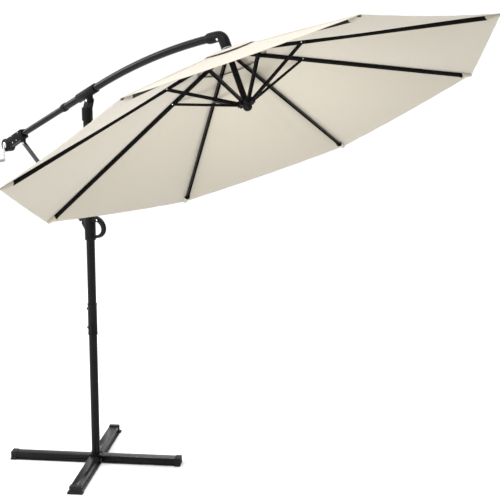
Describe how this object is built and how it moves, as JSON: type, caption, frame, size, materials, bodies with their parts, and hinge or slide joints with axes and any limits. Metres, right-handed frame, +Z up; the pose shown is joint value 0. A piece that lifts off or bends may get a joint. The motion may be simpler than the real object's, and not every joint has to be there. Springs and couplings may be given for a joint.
{
  "type": "cantilever patio umbrella",
  "caption": "Cantilever garden umbrella: tilted octagonal cream canopy hung from a bowed arm on an upright pole with a cross base.",
  "frame": {"origin": "centre of the crossed base, on the floor", "axes": "+Z up along the pole; +X from the pole towards the canopy"},
  "size_m": [3.1241, 2.3096, 2.5595],
  "materials": {
    "black_steel": "satin powder coat",
    "black_plastic": "fine moulded texture",
    "strut_grey": "dark anodised",
    "bright_steel": "polished plating",
    "grip_grey": "moulded",
    "cord": "braided cord",
    "canopy": "plain woven polyester"
  },
  "bodies": {
    "stand": {"base_rail_over": "black_steel", "base_rail_under": "black_steel", "foot_cap_1": "black_plastic", "foot_cap_2": "black_plastic", "foot_cap_3": "black_plastic", "foot_cap_4": "black_plastic", "centre_pad": "black_plastic", "base_post": "black_steel", "pole_lower": "black_steel", "pole_upper": "black_steel", "pole_coupling": "black_steel", "coupling_knob_1": "black_plastic", "coupling_knob_2": "black_plastic", "pole_top_bracket": "black_plastic", "arm_pivot_bolt": "bright_steel"},
    "slider": {"slider_sleeve": "black_plastic", "strut_pin": "bright_steel", "lever_pin": "bright_steel"},
    "lever": {"lock_lever": "black_plastic"},
    "strut": {"strut": "strut_grey"},
    "arm": {"arm_upper_tube": "black_steel", "arm_lower_tube": "black_steel", "arm_collar": "black_plastic", "arm_pivot_sleeve": "black_plastic", "arm_elbow": "black_plastic", "cord_guide": "bright_steel", "winch_case_front": "black_plastic", "winch_case_back": "black_plastic", "hoist_cord": "cord", "crown": "black_plastic", "vent_cap": "canopy"},
    "crank": {"winch_spool": "black_plastic", "crank_handle": "bright_steel"},
    "knob": {"crank_knob": "grip_grey"},
    "runner": {"runner": "black_plastic", "mast_tube": "black_steel"},
    "rib_1": {"rib_1": "black_steel", "gore_1": "canopy"},
    "stretcher_1": {"stretcher_1": "black_steel"},
    "rib_2": {"rib_2": "black_steel", "gore_2": "canopy"},
    "stretcher_2": {"stretcher_2": "black_steel"},
    "rib_3": {"rib_3": "black_steel", "gore_3": "canopy"},
    "stretcher_3": {"stretcher_3": "black_steel"},
    "rib_4": {"rib_4": "black_steel", "gore_4": "canopy"},
    "stretcher_4": {"stretcher_4": "black_steel"},
    "rib_5": {"rib_5": "black_steel", "gore_5": "canopy"},
    "stretcher_5": {"stretcher_5": "black_steel"},
    "rib_6": {"rib_6": "black_steel", "gore_6": "canopy"},
    "stretcher_6": {"stretcher_6": "black_steel"},
    "rib_7": {"rib_7": "black_steel", "gore_7": "canopy"},
    "stretcher_7": {"stretcher_7": "black_steel"},
    "rib_8": {"rib_8": "black_steel", "gore_8": "canopy"},
    "stretcher_8": {"stretcher_8": "black_steel"}
  },
  "joints": [
    {"name": "arm_tilt", "type": "hinge", "parent": "stand", "child": "arm", "pos_m": [0.022, 0, 2.086], "axis": [0, 1, 0], "range_deg": [0, 15]},
    {"name": "slider_slide", "type": "slide", "parent": "stand", "child": "slider", "axis": [0, 0, 1], "range_m": [0, 0.2563]},
    {"name": "strut_hinge", "type": "hinge", "parent": "slider", "child": "strut", "pos_m": [-0.064, 0, 1.402], "axis": [0, 1, 0], "range_deg": [-8.38, 0]},
    {"name": "lever_pull", "type": "hinge", "parent": "slider", "child": "lever", "pos_m": [0.076, 0, 1.43], "axis": [0, -1, 0], "range_deg": [0, 25], "stiffness_Nm_per_rad": 1.5, "springref_deg": -11.46},
    {"name": "crank_turn", "type": "hinge", "parent": "arm", "child": "crank", "pos_m": [-0.77251, 0, 1.77923], "axis": [0, -1, 0], "range_deg": [0, 2333]},
    {"name": "knob_spin", "type": "hinge", "parent": "crank", "child": "knob", "pos_m": [-0.77251, 0, 1.68923], "axis": [0, -1, 0], "continuous": true},
    {"name": "runner_slide", "type": "slide", "parent": "arm", "child": "runner", "axis": [0.4587, 0, -0.8886], "range_m": [0, 0.4479]},
    {"name": "rib_1_fold", "type": "hinge", "parent": "arm", "child": "rib_1", "pos_m": [1.14069, 0.01301, 2.38196], "axis": [-0.3401, 0.9239, -0.1755], "range_deg": [0, 66.13], "deforming": ["gore_1", "vent_cap"]},
    {"name": "stretcher_1_hinge", "type": "hinge", "parent": "rib_1", "child": "stretcher_1", "pos_m": [1.45881, 0.13867, 2.42703], "axis": [-0.3401, 0.9239, -0.1755], "range_deg": [-126.27, 0]},
    {"name": "rib_2_fold", "type": "hinge", "parent": "arm", "child": "rib_2", "pos_m": [1.12434, 0.03141, 2.37352], "axis": [-0.821, 0.3827, -0.4237], "range_deg": [0, 66.33], "deforming": ["gore_2"]},
    {"name": "stretcher_2_hinge", "type": "hinge", "parent": "rib_2", "child": "stretcher_2", "pos_m": [1.28455, 0.33478, 2.33709], "axis": [-0.821, 0.3827, -0.4237], "range_deg": [-126.27, 0]},
    {"name": "rib_3_fold", "type": "hinge", "parent": "arm", "child": "rib_3", "pos_m": [1.10121, 0.03141, 2.36158], "axis": [-0.821, -0.3827, -0.4237], "range_deg": [0, 66.33], "deforming": ["gore_3"]},
    {"name": "stretcher_3_hinge", "type": "hinge", "parent": "rib_3", "child": "stretcher_3", "pos_m": [1.0381, 0.33478, 2.20989], "axis": [-0.821, -0.3827, -0.4237], "range_deg": [-126.27, 0]},
    {"name": "rib_4_fold", "type": "hinge", "parent": "arm", "child": "rib_4", "pos_m": [1.08486, 0.01301, 2.35314], "axis": [-0.3401, -0.9239, -0.1755], "range_deg": [0, 66.33], "deforming": ["gore_4"]},
    {"name": "stretcher_4_hinge", "type": "hinge", "parent": "rib_4", "child": "stretcher_4", "pos_m": [0.86384, 0.13867, 2.11994], "axis": [-0.3401, -0.9239, -0.1755], "range_deg": [-126.27, 0]},
    {"name": "rib_5_fold", "type": "hinge", "parent": "arm", "child": "rib_5", "pos_m": [1.08486, -0.01301, 2.35314], "axis": [0.3401, -0.9239, 0.1755], "range_deg": [0, 66.33], "deforming": ["gore_5"]},
    {"name": "stretcher_5_hinge", "type": "hinge", "parent": "rib_5", "child": "stretcher_5", "pos_m": [0.86384, -0.13867, 2.11994], "axis": [0.3401, -0.9239, 0.1755], "range_deg": [-126.27, 0]},
    {"name": "rib_6_fold", "type": "hinge", "parent": "arm", "child": "rib_6", "pos_m": [1.10121, -0.03141, 2.36158], "axis": [0.821, -0.3827, 0.4237], "range_deg": [0, 66.33], "deforming": ["gore_6"]},
    {"name": "stretcher_6_hinge", "type": "hinge", "parent": "rib_6", "child": "stretcher_6", "pos_m": [1.0381, -0.33478, 2.20989], "axis": [0.821, -0.3827, 0.4237], "range_deg": [-126.27, 0]},
    {"name": "rib_7_fold", "type": "hinge", "parent": "arm", "child": "rib_7", "pos_m": [1.12434, -0.03141, 2.37352], "axis": [0.821, 0.3827, 0.4237], "range_deg": [0, 66.33], "deforming": ["gore_7"]},
    {"name": "stretcher_7_hinge", "type": "hinge", "parent": "rib_7", "child": "stretcher_7", "pos_m": [1.28455, -0.33478, 2.33709], "axis": [0.821, 0.3827, 0.4237], "range_deg": [-126.27, 0]},
    {"name": "rib_8_fold", "type": "hinge", "parent": "arm", "child": "rib_8", "pos_m": [1.14069, -0.01301, 2.38196], "axis": [0.3401, 0.9239, 0.1755], "range_deg": [0, 66.33], "deforming": ["gore_8"]},
    {"name": "stretcher_8_hinge", "type": "hinge", "parent": "rib_8", "child": "stretcher_8", "pos_m": [1.45881, -0.13867, 2.42703], "axis": [0.3401, 0.9239, 0.1755], "range_deg": [-126.27, 0]}
  ],
  "couplings": [
    {"joint": "slider_slide", "follows": "arm_tilt", "m_per_rad": 0.97531},
    {"joint": "strut_hinge", "follows": "arm_tilt", "ratio": -0.54553},
    {"joint": "crank_turn", "follows": "rib_1_fold", "ratio": 35.202},
    {"joint": "runner_slide", "follows": "rib_1_fold", "m_per_rad": 0.38723},
    {"joint": "stretcher_1_hinge", "follows": "rib_1_fold", "ratio": -1.9047},
    {"joint": "rib_2_fold", "follows": "rib_1_fold", "ratio": 1},
    {"joint": "stretcher_2_hinge", "follows": "rib_1_fold", "ratio": -1.9047},
    {"joint": "rib_3_fold", "follows": "rib_1_fold", "ratio": 1},
    {"joint": "stretcher_3_hinge", "follows": "rib_1_fold", "ratio": -1.9047},
    {"joint": "rib_4_fold", "follows": "rib_1_fold", "ratio": 1},
    {"joint": "stretcher_4_hinge", "follows": "rib_1_fold", "ratio": -1.9047},
    {"joint": "rib_5_fold", "follows": "rib_1_fold", "ratio": 1},
    {"joint": "stretcher_5_hinge", "follows": "rib_1_fold", "ratio": -1.9047},
    {"joint": "rib_6_fold", "follows": "rib_1_fold", "ratio": 1},
    {"joint": "stretcher_6_hinge", "follows": "rib_1_fold", "ratio": -1.9047},
    {"joint": "rib_7_fold", "follows": "rib_1_fold", "ratio": 1},
    {"joint": "stretcher_7_hinge", "follows": "rib_1_fold", "ratio": -1.9047},
    {"joint": "rib_8_fold", "follows": "rib_1_fold", "ratio": 1},
    {"joint": "stretcher_8_hinge", "follows": "rib_1_fold", "ratio": -1.9047}
  ]
}
